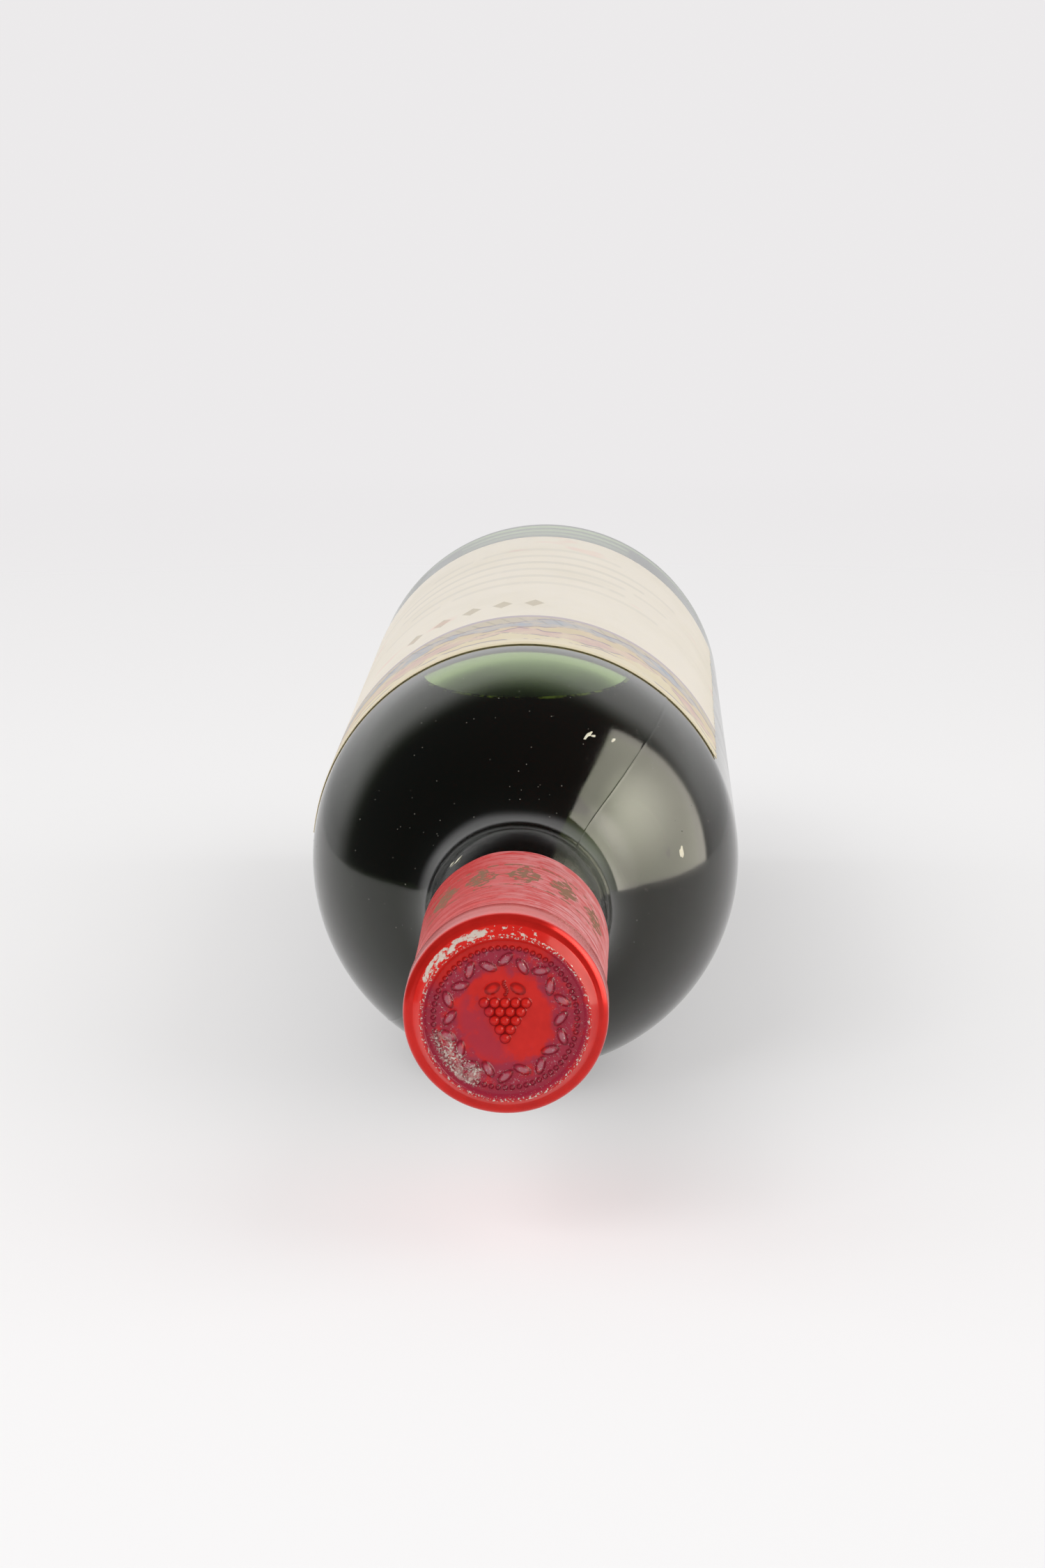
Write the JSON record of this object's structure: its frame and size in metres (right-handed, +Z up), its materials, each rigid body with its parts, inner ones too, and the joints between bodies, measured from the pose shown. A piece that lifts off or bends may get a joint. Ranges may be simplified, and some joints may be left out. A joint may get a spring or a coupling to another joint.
{
  "type": "wine bottle",
  "caption": "Full wine bottle of dark green glass with high shoulders, lying on its side, with a worn red foil capsule and an aged paper label.",
  "frame": {"origin": "on the floor, under the middle of the bottle's length", "axes": "+Z up, +Y along the bottle's axis from the capsule to the base, +X to the right as seen from the capsule"},
  "size_m": [0.0755, 0.298, 0.0754],
  "materials": {
    "dark_glass": "smooth dark olive green bottle glass",
    "red_wine": "deep red wine, nearly black in bulk",
    "red_foil": "red lacquered metal foil, chalky bloom and worn lacquer",
    "aged_paper": "uncoated cream paper, aged"
  },
  "bodies": {
    "root": {"bottle_glass": "dark_glass", "wine": "red_wine", "capsule": "red_foil", "label": "aged_paper"}
  },
  "joints": []
}
